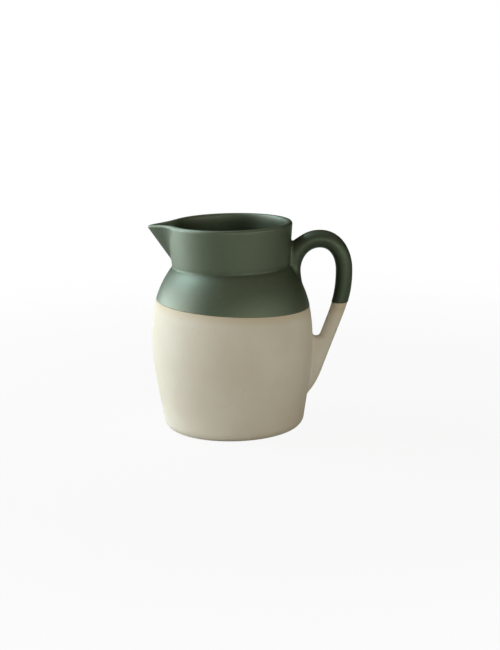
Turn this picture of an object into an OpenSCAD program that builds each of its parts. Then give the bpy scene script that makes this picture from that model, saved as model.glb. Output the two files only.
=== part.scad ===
// Stoneware water pitcher: a thrown body, a beak spout luted over a notch in the collar,
// a pulled handle, and a green glaze over the upper part and the inside.
// The origin is on the pitcher's axis, in the plane that it stands on.
// The spout points along -X and the handle along +X.

/* [Body] */
// Height of the finished rim
height = 200; // [190:1:215]
// Diameter of the belly at its widest
belly_d = 155.2; // [148:0.2:168]
// Height of the widest ring of the belly
belly_z = 83; // [76:1:90]
// Diameter of the flat that it stands on
foot_d = 115.5; // [106:0.5:124]
// Radius of the rounded heel
heel_r = 10.5; // [7:0.5:13]
// Outward lean of the side above the heel, in degrees
side_lean = 8; // [5:0.5:11]
// Height of the crease between shoulder and collar
crease_z = 158; // [152:0.5:163]
// Diameter of the collar at the crease
collar_d = 111.8; // [107:0.2:117]
// Lean of the shoulder where it runs into the crease, in degrees
shoulder_lean = 38; // [33:1:43]
// Radius of the hollow in the crease
crease_r = 5; // [3:0.5:7]
// Diameter of the collar at the rim
rim_d = 118.6; // [115:0.2:124]
// Thickness of the clay wall
wall = 4.4; // [3.6:0.1:5.4]
// Thickness of the clay floor
floor_t = 6.5; // [5:0.5:9]
// Radius of the inside corner between floor and wall
well_r = 12; // [8:0.5:16]
// Width of the foot ring
foot_ring_w = 9; // [6:0.5:14]
// Depth of the hollow inside the foot ring
foot_hollow = 1.5; // [0.8:0.1:2.5]

/* [Spout] */
// How far the tip stands out past the rim
spout_reach = 19.8; // [15:0.2:24]
// Angle between the two sides of the beak, in degrees
spout_angle = 66; // [57:1:75]
// Rounding of the ridge in front
ridge_r = 1.5; // [1:0.1:2.5]
// Height at which the ridge leaves the collar
spout_foot_z = 165; // [161:0.5:170]
// Share of the beak's reach over which its sides melt into the collar
spout_blend = 0.45; // [0.3:0.05:0.6]
// How far the tip hangs below the rim
tip_drop = 1.6; // [0:0.1:3]
// Width of the notch in the collar at its foot
notch_foot_w = 14; // [11:0.5:18]
// Width of the notch in the collar at the rim
notch_top_w = 58; // [57:0.5:66]

/* [Handle] */
// How far the crown lies below the rim
crown_drop = 10; // [5:0.5:16]
// How far the crown stands out past the rim
crown_out = 26; // [22:0.5:32]
// How far the back of the handle stands out past the belly
handle_reach = 38.4; // [33:0.2:46]
// Height from the crown down to the outermost point of the back
back_drop = 38; // [32:0.5:46]
// Thickness at the crown
crown_t = 16.2; // [13:0.2:19]
// Thickness at the back
back_t = 15.2; // [12:0.2:18]
// Thickness of the straight run above the lower end
run_t = 14; // [11:0.2:17]
// Lean of the straight run, in degrees
run_lean = 21.5; // [18:0.5:27]
// Width across the upper root
root_w = 18.5; // [15:0.5:25]
// Width across the crown
crown_w = 18.5; // [15:0.5:24]
// Width across the straight run
run_w = 17; // [13:0.5:22]
// Width across the lower end
tail_w = 18; // [14:0.5:23]
// Distance from the rim down to the top of the upper root
root_drop = 21.5; // [17:0.5:27]
// Height of the upper root on collar and shoulder
root_h = 38; // [33:0.5:43]
// How far the underside of the root stands off the collar
root_web = 10.4; // [8:0.2:13]
// Height of the crotch between handle and belly
crotch_z = 86.8; // [80:0.2:94]
// Finger room beside the belly just above the crotch
crotch_w = 8.5; // [7:0.5:11]
// Height of the lower end on the belly
tail_z = 29.5; // [24:0.5:36]

/* [Glaze and slip] */
// Thickness of the fired glaze coat
glaze_t = 0.4; // [0.3:0.05:0.6]
// Thickness of the slip that joins handle and spout to the body
slip_t = 0.5; // [0.4:0.05:0.8]
// Height of the dip line on the axis
dip_z = 122.5; // [112:0.5:132]
// Fall of the dip line towards the handle, in degrees
dip_tilt = 3.7; // [0:0.1:6]
// How far the level line on the handle lies below the dip line's height on the axis
handle_dip_drop = 2.5; // [0:0.5:9]

/* [Hidden] */

clay_colour = "#e4ddcf";
slip_colour = "#d6cbb6";
glaze_colour = "#66796a";

// Steps along each curve of the outline, and around a rounded edge
curve_steps = 16;
arc_steps = 6;
// Sections across the beak and up each of its walls, and its half spread in degrees
beak_steps = 34;
beak_rise_steps = 8;
beak_spread = 33;
// Least depth of the hollow where the beak leaves the collar
foot_blend = 1;
// Rings along each stretch of the handle and sides of each ring
stretch_steps = 5;
ring_sides = 20;
// Length of a curve's arm as a share of the stretch it spans
arm_share = 0.4;
// Height of the end of the straight run above the crotch, and how far the back runs on below that end
run_drop = 5.5;
run_step = 9.5;
// How deep the handle's ends start inside the body
bury = 9;
// How deep the root and the tail are pressed in, so that no corner lies on the clay's face
press = 1.2;
// Headings of the handle's back where it leaves the collar and where it meets the belly, in degrees
root_heading = 32;
tail_heading = -132;
// Room past a cut, so that no cut ends on a face
over = 1;

foot_r = foot_d / 2;
belly_r = belly_d / 2;
collar_r = collar_d / 2;
rim_r = rim_d / 2;

// Curves

function linear(a, b, t) = a + (b - a) * t;

// Radius on a curve of rise h from radius a to radius b with slopes m and n at its ends
function hermite(a, b, m, n, h, t) =
    (1 + 2 * t) * (1 - t) * (1 - t) * a + t * (1 - t) * (1 - t) * h * m
    + t * t * (3 - 2 * t) * b - t * t * (1 - t) * h * n;

function hermite_slope(a, b, m, n, h, t) =
    6 * t * (1 - t) * (b - a) / h + (1 - t) * (1 - 3 * t) * m + t * (3 * t - 2) * n;

// The larger of two radii, with a soft hollow of depth k where they cross
function soft_max(a, b, k) = max(a, b) + pow(max(k - abs(a - b), 0), 2) / (4 * k);

// Outline of the body

heel_end_r = foot_r + heel_r * cos(side_lean);
heel_end_z = heel_r * (1 - sin(side_lean));
collar_flare = atan((rim_r - collar_r) / (height - crease_z));
crease_arm = crease_r * tan((shoulder_lean + collar_flare) / 2);
shoulder_end_z = crease_z - crease_arm * cos(shoulder_lean);

function line_r(z) = collar_r + (z - crease_z) * tan(collar_flare);

function side_r(z) =
    z > crease_z ? line_r(z)
    : z > belly_z ? hermite(belly_r, collar_r, 0, -tan(shoulder_lean), crease_z - belly_z,
                            (z - belly_z) / (crease_z - belly_z))
    : hermite(heel_end_r, belly_r, tan(side_lean), 0, belly_z - heel_end_z,
              (z - heel_end_z) / (belly_z - heel_end_z));

function side_slope(z) =
    z > belly_z ? hermite_slope(belly_r, collar_r, 0, -tan(shoulder_lean), crease_z - belly_z,
                                (z - belly_z) / (crease_z - belly_z))
    : hermite_slope(heel_end_r, belly_r, tan(side_lean), 0, belly_z - heel_end_z,
                    (z - heel_end_z) / (belly_z - heel_end_z));

// A point of the side at height z, moved d outwards, square to the side
function side_point(z, d) =
    let (m = side_slope(z), square = d / sqrt(1 + m * m))
    [side_r(z) + square, z - m * square];

// A point of the straight collar at height z, moved d outwards
function collar_point(z, d) =
    [line_r(z) + d * cos(collar_flare), z - d * sin(collar_flare)];

function heading(a) = [cos(a), sin(a)];

function arc(centre, radius, from, to, steps) =
    [for (i = [0:steps]) let (a = linear(from, to, i / steps)) centre + radius * heading(a)];

// Centre of the hollow in the crease, which lies outside the wall
crease_centre = collar_point(crease_z + crease_arm * cos(collar_flare), crease_r);

// Centre and foot of the rounded lip
lip_r = wall / 2;
lip_z = height - glaze_t - lip_r;
lip_foot_z = lip_z - lip_r * sin(collar_flare);
lip_centre = collar_point(lip_foot_z, -lip_r);

// The side from height z up to the lip, moved d outwards
function side_path(z, d) = concat(
    [for (i = [0:curve_steps - 1]) side_point(linear(z, belly_z, i / curve_steps), d)],
    [for (i = [0:curve_steps - 1]) side_point(linear(belly_z, shoulder_end_z, i / curve_steps), d)],
    arc(crease_centre, crease_r - d, 180 + shoulder_lean, 180 - collar_flare, arc_steps),
    [collar_point(lip_foot_z, d)]);

// The rounded lip from outside to inside, over part of its turn, moved d outwards
function lip_path(d, from, to) =
    arc(lip_centre, lip_r + d, linear(0, 180, from) - collar_flare,
        linear(0, 180, to) - collar_flare, arc_steps);

// The inside corner between floor and wall, moved d towards the clay
well_end_z = floor_t + well_r * (1 - sin(side_lean));
well_start_z = well_end_z - wall * sin(side_lean);
well_centre_r = side_point(well_start_z, -wall)[0] - well_r * cos(side_lean);

function well_path(d) =
    arc([well_centre_r, floor_t + well_r], well_r + d, -side_lean, -90, arc_steps);

function backwards(list) = [for (i = [len(list) - 1:-1:0]) list[i]];

// Turns a closed outline of radius and height round the axis
module turn(outline) {
    rotate_extrude($fn = 96)
        polygon(outline);
}

// Everything inside the outer face of the side, moved d outwards
module envelope(d) {
    turn(concat([[0, 0], [foot_r, 0]],
                arc([foot_r, heel_r], heel_r + d, -90 + over, -side_lean - over, arc_steps),
                side_path(heel_end_z, d),
                [[line_r(height) + d, height + over], [0, height + over]]));
}

// Lofted shapes

// Triangles that fill a section of n points, from its first point and its last one to its middle
function cap(n) = [for (j = [0:n / 2]) each concat(
    j + 1 < n - 1 - j ? [[j, j + 1, n - 1 - j]] : [],
    j + 1 < n - 2 - j ? [[j + 1, n - 2 - j, n - 1 - j]] : [])];

// Closed solid through a list of sections, each a list of points in the same order,
// with its faces turned over where the sections run the other way round
module loft(sections, turned = false) {
    n = len(sections[0]);
    last = (len(sections) - 1) * n;
    walls = [for (i = [0:len(sections) - 2], j = [0:n - 1])
                 let (a = i * n + j, b = i * n + (j + 1) % n)
                 each [[a, b, b + n], [a, b + n, a + n]]];
    caps = [for (f = cap(n)) each [[f[0], f[2], f[1]], [last + f[0], last + f[1], last + f[2]]]];
    faces = concat(walls, caps);
    polyhedron([for (s = sections) each s],
               turned ? [for (f = faces) backwards(f)] : faces, convexity = 6);
}

// Closed sleeve between two lists of rings of the same length
module sleeve(outside, inside) {
    n = len(outside[0]);
    rows = len(outside);
    skip = rows * n;
    last = (rows - 1) * n;
    walls = [for (i = [0:rows - 2], j = [0:n - 1])
                 let (a = i * n + j, b = i * n + (j + 1) % n)
                 each [[a, b, b + n], [a, b + n, a + n],
                       [skip + a, skip + b + n, skip + b], [skip + a, skip + a + n, skip + b + n]]];
    ends = [for (j = [0:n - 1])
                let (a = j, b = (j + 1) % n)
                each [[a, skip + b, b], [a, skip + a, skip + b],
                      [last + a, last + b, skip + last + b],
                      [last + a, skip + last + b, skip + last + a]]];
    polyhedron([for (s = concat(outside, inside)) each s], concat(walls, ends), convexity = 6);
}

// Beak spout

beak_half = spout_angle / 2;
tip_r = rim_r + spout_reach;
notch_z = crease_z + crease_arm + over;

function ridge_at(z) =
    linear(line_r(spout_foot_z), tip_r, (z - spout_foot_z) / (height - spout_foot_z));

// Radius of the beak at angle a from its ridge, at height z, moved d outwards
function beak_r(a, z, d) =
    let (ridge = ridge_at(z) + d / sin(beak_half),
         ease = ridge_r / tan(beak_half) / (ridge - ridge_r) * 180 / PI,
         apex = ridge * sin(beak_half + ease) / sin(beak_half),
         beside = sqrt(a * a + ease * ease),
         blend = max(spout_blend * (ridge_at(z) - line_r(z)), foot_blend))
    soft_max(line_r(z) + d, apex * sin(beak_half) / sin(beak_half + beside), blend);

// A point of the beak, which hangs lower towards its tip
function beak_point(a, z, d) =
    let (r = beak_r(a, z, d), hang = tip_drop * (r - line_r(z) - d) / spout_reach)
    [-r * cos(a), r * sin(a), z - hang];

// Up the wall of the beak outside, over its lip and down inside, moved d out of the clay
function beak_path(a, d) = concat(
    [for (i = [0:beak_rise_steps - 1])
        beak_point(a, linear(notch_z - over, lip_z, i / beak_rise_steps), d)],
    [for (i = [0:arc_steps]) let (t = 180 * i / arc_steps)
        beak_point(a, lip_z + (lip_r + d) * sin(t), (lip_r + d) * cos(t) - lip_r)],
    [for (i = [1:beak_rise_steps])
        beak_point(a, linear(lip_z, notch_z - over, i / beak_rise_steps), -wall - d)]);

// Angles of the sections, closer together at the ridge
beak_angles = [for (i = [-beak_steps / 2:beak_steps / 2])
                   let (t = 2 * i / beak_steps) beak_spread * sign(t) * pow(abs(t), 1.4)];

module beak() {
    loft([for (a = beak_angles) beak_path(a, 0)]);
}

module beak_coat() {
    loft([for (a = beak_angles) concat(beak_path(a, 0), backwards(beak_path(a, glaze_t)))], turned = true);
}

// The notch in the collar that the beak closes, made narrower by inset on each side
module notch(inset) {
    slope = (notch_top_w - notch_foot_w) / 2 / (height - notch_z);
    side = inset * sqrt(1 + slope * slope) - inset * slope;
    top = height + 2 * over;
    foot_w = notch_foot_w / 2 - side;
    top_w = foot_w + (top - notch_z - inset) * slope;
    translate([-collar_r / 2, 0, 0])
        rotate([90, 0, -90])
            linear_extrude(tip_r)
                polygon([[-foot_w, notch_z + inset], [foot_w, notch_z + inset],
                         [top_w, top], [-top_w, top]]);
}

// Handle

crown_z = height - crown_drop;
crown_x = rim_r + crown_out;
back_x = belly_r + handle_reach;
back_z = crown_z - back_drop;
root_z = height - root_drop;
root_low_z = root_z - root_h;
root_out = [line_r(root_z), root_z] - press * heading(root_heading);
web_x = line_r(crease_z) + root_web;
web_z = root_low_z + root_web;
belly_x = side_r(crotch_z);
run_in = [belly_x + crotch_w, crotch_z + run_drop];
run_out = run_in + [run_t / cos(run_lean), 0];
run_heading = -90 - run_lean;
crotch_out = run_out - run_step * [tan(run_lean), 1];
tail_x = side_r(tail_z);
tail_out = [tail_x, tail_z] + press * heading(tail_heading);
tail_in = [tail_x - 1.5 * bury, tail_z];
tail_mid_z = (crotch_z + tail_z) / 2;
tail_mid_x = crotch_out[0] - (crotch_out[1] - tail_mid_z) * tan(run_lean);

// Each station: outer point, outer heading, inner point, inner heading, width across
stations = [
    [root_out - bury * heading(root_heading), root_heading, [web_x, web_z - 2 * bury], 90, root_w],
    [root_out, root_heading, [web_x, web_z], 90, root_w],
    [[crown_x, crown_z], 0, [crown_x, crown_z - crown_t], 0, crown_w],
    [[back_x, back_z], -90, [back_x - back_t, back_z], -90, (crown_w + run_w) / 2],
    [run_out, run_heading, run_in, run_heading, run_w],
    [crotch_out, run_heading, [belly_x + crotch_w * 0.4, crotch_z], -180, run_w],
    [[tail_mid_x, tail_mid_z], run_heading, [side_r(tail_mid_z) - bury / 2, tail_mid_z], -90, tail_w],
    [tail_out, tail_heading, tail_in, -90, tail_w],
    [tail_out + bury * heading(tail_heading), tail_heading, tail_in - bury * [1, 1], -90, tail_w / 2]];

// Stretch of the handle that holds the dip line, counted from the upper root
dip_stretch = 4;

// A point on the curve from p to q, with heading a at p and heading b at q
function edge_point(p, a, q, b, t) =
    let (arm = arm_share * norm(q - p), p1 = p + arm * heading(a), q1 = q - arm * heading(b), s = 1 - t)
    s * s * s * p + 3 * s * s * t * p1 + 3 * s * t * t * q1 + t * t * t * q;

// One oval ring of the handle, t along the stretch that starts at station k, grown by d
function handle_ring(k, t, d) =
    let (p = stations[k], q = stations[k + 1],
         outer = edge_point(p[0], p[1], q[0], q[1], t),
         inner = edge_point(p[2], p[3], q[2], q[3], t),
         half = (outer - inner) / 2,
         deep = half * (1 + d / norm(half)),
         wide = linear(p[4], q[4], t * t * (3 - 2 * t)) / 2 + d)
    [for (j = [0:ring_sides - 1])
        let (v = 360 * j / ring_sides, c = (outer + inner) / 2 + deep * cos(v))
        [c[0], wide * sin(v), c[1]]];

// The rings of the first stretches of the handle, grown by d
function handle_rings(stretches, d) = concat(
    [for (k = [0:stretches - 1], i = [0:stretch_steps - 1]) handle_ring(k, i / stretch_steps, d)],
    [handle_ring(stretches - 1, 1, d)]);

module whole_handle() {
    loft(handle_rings(len(stations) - 1, 0));
}

// Slip under the handle, above or below the middle of the finger gap
module handle_slip(upper) {
    middle = (root_low_z + crotch_z) / 2;
    color(slip_colour)
        intersection() {
            whole_handle();
            difference() {
                envelope(slip_t);
                envelope(0);
            }
            translate([0, -root_w, upper ? middle : 0])
                cube([back_x, 2 * root_w, upper ? height - middle : middle]);
        }
}

// Everything above a glaze line at height z on the axis, which falls towards the handle
module above_line(z, fall) {
    reach = back_x + glaze_t + over;
    translate([0, 0, z])
        rotate([0, fall, 0])
            translate([-reach, -reach, 0])
                cube([2 * reach, 2 * reach, height]);
}

// Pieces

module body() {
    color(clay_colour)
        difference() {
            turn(concat(
                [[0, foot_hollow], [foot_r - foot_ring_w - foot_hollow, foot_hollow],
                 [foot_r - foot_ring_w, 0]],
                arc([foot_r, heel_r], heel_r, -90, -side_lean, arc_steps),
                side_path(heel_end_z, 0),
                lip_path(0, 0, 1),
                backwards(side_path(well_start_z, -wall)),
                well_path(0),
                [[0, floor_t]]));
            notch(0);
        }
}

module spout() {
    color(clay_colour)
        intersection() {
            beak();
            notch(slip_t);
        }
}

module spout_slip() {
    color(slip_colour)
        intersection() {
            beak();
            difference() {
                notch(0);
                notch(slip_t);
            }
        }
}

module handle() {
    color(clay_colour)
        difference() {
            whole_handle();
            envelope(slip_t);
        }
}

module upper_handle_slip() {
    handle_slip(true);
}

module lower_handle_slip() {
    handle_slip(false);
}

module collar_glaze() {
    color(glaze_colour)
        difference() {
            intersection() {
                turn(concat(side_path(belly_z, glaze_t), lip_path(glaze_t, 0, 0.5),
                            backwards(lip_path(0, 0, 0.5)), backwards(side_path(belly_z, 0))));
                above_line(dip_z, dip_tilt);
            }
            notch(0);
            whole_handle();
        }
}

module liner_glaze() {
    color(glaze_colour)
        difference() {
            turn(concat(
                lip_path(glaze_t, 0.5, 1),
                backwards(side_path(well_start_z, -wall - glaze_t)),
                well_path(-glaze_t),
                [[0, floor_t + glaze_t], [0, floor_t]],
                backwards(well_path(0)),
                side_path(well_start_z, -wall),
                backwards(lip_path(0, 0.5, 1))));
            notch(0);
        }
}

module spout_glaze() {
    color(glaze_colour)
        intersection() {
            beak_coat();
            notch(0);
        }
}

module handle_glaze() {
    color(glaze_colour)
        intersection() {
            difference() {
                sleeve(handle_rings(dip_stretch, glaze_t), handle_rings(dip_stretch, 0));
                envelope(glaze_t);
            }
            above_line(dip_z - handle_dip_drop, 0);
        }
}

body();
spout();
handle();
spout_slip();
upper_handle_slip();
lower_handle_slip();
collar_glaze();
liner_glaze();
spout_glaze();
handle_glaze();
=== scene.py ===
"""Stoneware water pitcher: its clay, its glaze, and the light and camera that show it.

Sizes are in millimetres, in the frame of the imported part, and meshes are written in metres.
The spout points along -X, the handle along +X, and the pitcher stands on the plane Z = 0.
"""

import logging
import math
from abc import ABC, abstractmethod
from dataclasses import dataclass, field
from enum import Enum
from typing import Any, NamedTuple

import bmesh
import bpy
import numpy as np
from mathutils import Matrix, Vector
from mathutils.bvhtree import BVHTree


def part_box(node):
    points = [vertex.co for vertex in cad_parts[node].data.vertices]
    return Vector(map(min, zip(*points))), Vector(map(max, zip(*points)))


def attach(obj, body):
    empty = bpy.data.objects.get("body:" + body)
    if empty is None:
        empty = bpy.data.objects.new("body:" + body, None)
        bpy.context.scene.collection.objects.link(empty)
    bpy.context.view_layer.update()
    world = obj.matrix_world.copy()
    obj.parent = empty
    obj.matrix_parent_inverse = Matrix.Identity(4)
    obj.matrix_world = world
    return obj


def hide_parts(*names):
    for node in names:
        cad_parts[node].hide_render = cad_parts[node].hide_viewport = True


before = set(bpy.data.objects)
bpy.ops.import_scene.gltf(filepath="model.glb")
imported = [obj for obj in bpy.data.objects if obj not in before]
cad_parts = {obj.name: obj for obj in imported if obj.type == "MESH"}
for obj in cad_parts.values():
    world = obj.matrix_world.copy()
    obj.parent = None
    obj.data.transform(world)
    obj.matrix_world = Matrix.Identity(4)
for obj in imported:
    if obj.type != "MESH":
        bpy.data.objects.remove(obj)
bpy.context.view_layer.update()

MM = 0.001
LOG = logging.getLogger("pitcher")


class Slot(Enum):
    """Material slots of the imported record."""

    CLAY = "bare_stoneware"
    GLAZE = "green_glaze"


class Share(Enum):
    """What the glaze meshes tell their material about the coat: where glaze gathers or runs thinner, and
    where painted shade or a painted highlight falls.
    """

    # Pooling glaze inside, in the crease and on the handle, and painted shade darkening the same places
    POOLED_AND_SHADE = "pooled_and_shade"
    # Glaze running thinner over the lip, and a painted highlight paling it
    THIN = "thin_and_highlight"


def to_linear(colour: str) -> tuple[float, float, float, float]:
    """Turns an sRGB hex colour into linear light.

    Args:
        colour: The colour as "#rrggbb".

    Returns:
        Red, green, blue and an alpha of 1.
    """
    shares = [int(colour[i:i + 2], 16) / 255 for i in (1, 3, 5)]
    light = [s / 12.92 if s <= 0.04045 else ((s + 0.055) / 1.055) ** 2.4 for s in shares]
    return (light[0], light[1], light[2], 1.0)


def add_node(tree: bpy.types.NodeTree, kind: str, inputs: dict[Any, Any] | None = None,
             **settings: Any) -> bpy.types.Node:
    """Adds a node to a tree, with its settings and links.

    Args:
        tree: The node tree.
        kind: The node's type.
        inputs: Values or output sockets for the node's inputs, by name or number.
        settings: The node's own properties.

    Returns:
        The new node.
    """
    node = tree.nodes.new(kind)
    for name, value in settings.items():
        setattr(node, name, value)
    for name, value in (inputs or {}).items():
        if isinstance(value, bpy.types.NodeSocket):
            tree.links.new(value, node.inputs[name])
        else:
            node.inputs[name].default_value = value
    return node


def blank_material(name: str) -> bpy.types.Material:
    """Makes a material with an empty node tree."""
    material = bpy.data.materials.new(name)
    material.use_nodes = True
    material.node_tree.nodes.clear()
    return material


def grain(tree: bpy.types.NodeTree, place: bpy.types.NodeSocket, size: float,
          detail: float) -> bpy.types.NodeSocket:
    """Noise from 0 to 1 whose grains are so many millimetres apart."""
    inputs = {"Vector": place, "Scale": 1 / (size * MM), "Detail": detail}
    return add_node(tree, "ShaderNodeTexNoise", inputs).outputs["Fac"]


def ramp(tree: bpy.types.NodeTree, value: bpy.types.NodeSocket, band: tuple[float, float] = (0.0, 1.0),
         ends: tuple[float, float] = (0.0, 1.0), **settings: Any) -> bpy.types.NodeSocket:
    """Runs from one end to the other while a value crosses a band."""
    inputs = {"Value": value, "From Min": band[0], "From Max": band[1],
              "To Min": ends[0], "To Max": ends[1]}
    return add_node(tree, "ShaderNodeMapRange", inputs, **settings).outputs["Result"]


def lay_over(tree: bpy.types.NodeTree, share: bpy.types.NodeSocket, under: Any, colour: Any,
             **settings: Any) -> bpy.types.NodeSocket:
    """Lays a colour over another one, as much of it as the share says."""
    inputs = {0: share, 6: under, 7: colour}
    return add_node(tree, "ShaderNodeMix", inputs, data_type="RGBA", **settings).outputs[2]


def worked(tree: bpy.types.NodeTree, operation: str, a: Any, b: Any) -> bpy.types.NodeSocket:
    """Works one value out from two, by the operation's name."""
    return add_node(tree, "ShaderNodeMath", {0: a, 1: b}, operation=operation).outputs["Value"]


def mark(mesh: bpy.types.Mesh, share: Share, values: np.ndarray) -> None:
    """Writes a share on each corner of a mesh, for its material to read."""
    marks = mesh.attributes.new(share.value, "FLOAT", "POINT")
    marks.data.foreach_set("value", values.astype(np.float32))


def quad_rows(rows: int, columns: int) -> tuple[np.ndarray, np.ndarray, np.ndarray]:
    """Numbers the corners of closed rings that are stacked in rows.

    Args:
        rows: How many rings there are.
        columns: How many corners each ring has.

    Returns:
        The corners by row and column, the next corner beside each one, and the quads between rings.
    """
    near = np.arange(rows * columns).reshape(rows, columns)
    beside = np.roll(near, -1, axis=1)
    quads = np.stack([near[:-1], beside[:-1], beside[1:], near[1:]], axis=-1).reshape(-1, 4)
    return near, beside, quads


def new_piece(name: str, points: np.ndarray, faces: list) -> bpy.types.Object:
    """Makes a smooth mesh object that rides on the part's one body.

    Args:
        name: The piece's name.
        points: Its corners in millimetres.
        faces: Lists of corner numbers.

    Returns:
        The new object.
    """
    mesh = bpy.data.meshes.new(name)
    mesh.from_pydata((points * MM).tolist(), [], faces)
    mesh.shade_smooth()
    piece = bpy.data.objects.new(name, mesh)
    bpy.context.scene.collection.objects.link(piece)
    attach(piece, "root")
    return piece


def ring_skin(name: str, rings: np.ndarray, start: tuple, end: tuple) -> bpy.types.Object:
    """Makes a closed mesh through a stack of rings, with a point at each end.

    Args:
        name: The piece's name.
        rings: Corners in millimetres, by ring and place on the ring.
        start: The point before the first ring.
        end: The point after the last ring.

    Returns:
        The new object, with its faces turned outwards.
    """
    near, beside, quads = quad_rows(*rings.shape[:2])
    first, last = near.size, near.size + 1
    fans = [(first, b, a) for a, b in zip(near[0].tolist(), beside[0].tolist())]
    fans += [(last, a, b) for a, b in zip(near[-1].tolist(), beside[-1].tolist())]
    piece = new_piece(name, np.vstack([rings.reshape(-1, 3), start, end]), quads.tolist() + fans)
    shell = bmesh.new()
    shell.from_mesh(piece.data)
    bmesh.ops.recalc_face_normals(shell, faces=shell.faces)
    shell.to_mesh(piece.data)
    shell.free()
    return piece


def smooth_step(low: float, high: float, value: np.ndarray) -> np.ndarray:
    """Rises softly from 0 at low to 1 at high."""
    share = np.clip((value - low) / (high - low), 0, 1)
    return share * share * (3 - 2 * share)


def hermite(a: float, b: float, m: float, n: float, h: float, t: np.ndarray) -> np.ndarray:
    """Radius on a curve of rise h from radius a to b, with slopes m and n at its ends."""
    return ((1 + 2 * t) * (1 - t) ** 2 * a + t * (1 - t) ** 2 * h * m
            + t * t * (3 - 2 * t) * b - t * t * (1 - t) * h * n)


def hermite_slope(a: float, b: float, m: float, n: float, h: float, t: np.ndarray) -> np.ndarray:
    """Slope of the same curve."""
    return 6 * t * (1 - t) * (b - a) / h + (1 - t) * (1 - 3 * t) * m + t * (3 * t - 2) * n


def soft_max(a: np.ndarray, b: np.ndarray, depth: float | np.ndarray) -> np.ndarray:
    """The larger of two values, with a soft hollow of that depth where they cross."""
    return np.maximum(a, b) + np.maximum(depth - np.abs(a - b), 0) ** 2 / (4 * depth)


def arc(centre: tuple[float, float], radius: float, start: float, stop: float,
        steps: int) -> np.ndarray:
    """Points of radius and height along an arc between two angles in degrees."""
    angle = np.radians(np.linspace(start, stop, steps + 1))
    return np.stack([centre[0] + radius * np.cos(angle), centre[1] + radius * np.sin(angle)], axis=-1)


def heading(angle: float) -> np.ndarray:
    """Unit step in the pitcher's mirror plane, at an angle in degrees."""
    return np.array([math.cos(math.radians(angle)), math.sin(math.radians(angle))])


@dataclass(frozen=True)
class DipLine:
    """The level that the glaze came up to when the fired pot was dipped upside down."""

    height: float = 122.5
    tilt: float = 3.7

    @property
    def fall(self) -> float:
        """Fall of the line towards the handle, for each millimetre along X."""
        return math.tan(math.radians(self.tilt))


@dataclass(frozen=True)
class BareStoneware:
    """Cream stoneware, turned and sponged smooth, fired without glaze.

    It looks dry and matt: light spreads evenly, with no highlight. Fine sand and a few iron specks
    break the colour, the turning left faint rings, and the clay flashes warmer next to the glaze.
    """

    pale: str = "#ebe2da"
    deep: str = "#e6dad0"
    flash: str = "#d6bb98"
    speck: str = "#998468"
    roughness: float = 0.8
    ior: float = 1.5
    cloud_size: float = 45.0
    cloud_band: tuple[float, float] = (0.35, 0.65)
    speck_size: float = 2.6
    speck_band: tuple[float, float] = (0.68, 0.8)
    speck_share: float = 0.25
    flash_width: float = 10.0
    flash_share: float = 0.45
    ring_size: float = 5.0
    ring_stretch: float = 0.04
    ring_depth: float = 0.4
    ring_strength: float = 0.12
    sand_size: float = 1.6
    sand_depth: float = 0.12
    sand_strength: float = 0.25

    def colour(self, tree: bpy.types.NodeTree, place: bpy.types.NodeSocket,
               dip: DipLine) -> bpy.types.NodeSocket:
        """Mixes the clay's colour from clouds, specks and flash.

        Args:
            tree: The material's node tree.
            place: Where a point of the clay lies.
            dip: The dip line, which the warm flash follows.

        Returns:
            The colour's socket.
        """
        clouds = ramp(tree, grain(tree, place, self.cloud_size, 3.0), self.cloud_band)
        clay = lay_over(tree, clouds, to_linear(self.pale), to_linear(self.deep))
        # Real specks are under half a millimetre and are drawn coarser so that they show
        iron = grain(tree, place, self.speck_size, 2.0)
        specks = ramp(tree, iron, self.speck_band, (0.0, self.speck_share))
        specked = lay_over(tree, specks, clay, to_linear(self.speck))
        level = add_node(tree, "ShaderNodeVectorMath", {0: place, 1: (dip.fall, 0.0, 1.0)},
                         operation="DOT_PRODUCT").outputs["Value"]
        flash_band = ((dip.height - self.flash_width) * MM, dip.height * MM)
        flash = ramp(tree, level, flash_band, (0.0, self.flash_share), interpolation_type="SMOOTHSTEP")
        return lay_over(tree, flash, specked, to_linear(self.flash))

    def relief(self, tree: bpy.types.NodeTree, place: bpy.types.NodeSocket) -> bpy.types.NodeSocket:
        """Raises the turning rings, and the sand on them, as a normal."""
        along = (self.ring_stretch, self.ring_stretch, 1.0)
        stretched = add_node(tree, "ShaderNodeMapping", {"Vector": place, "Scale": along}).outputs["Vector"]
        rings = add_node(tree, "ShaderNodeBump",
                         {"Height": grain(tree, stretched, self.ring_size, 2.0),
                          "Strength": self.ring_strength, "Distance": self.ring_depth * MM})
        # The sand is finer than this in the real clay and is drawn coarser so that it shows
        sand = add_node(tree, "ShaderNodeBump",
                        {"Height": grain(tree, place, self.sand_size, 4.0),
                         "Strength": self.sand_strength, "Distance": self.sand_depth * MM,
                         "Normal": rings.outputs["Normal"]})
        return sand.outputs["Normal"]

    def material(self, dip: DipLine) -> bpy.types.Material:
        """Makes the material.

        Args:
            dip: The dip line, which the warm flash follows.

        Returns:
            The material.
        """
        material = blank_material("bare_stoneware_sponged")
        tree = material.node_tree
        place = add_node(tree, "ShaderNodeTexCoord").outputs["Object"]
        shader = add_node(tree, "ShaderNodeBsdfPrincipled",
                          {"Base Color": self.colour(tree, place, dip), "Roughness": self.roughness,
                           "IOR": self.ior, "Normal": self.relief(tree, place)})
        add_node(tree, "ShaderNodeOutputMaterial", {"Surface": shader.outputs["BSDF"]})
        return material


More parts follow.
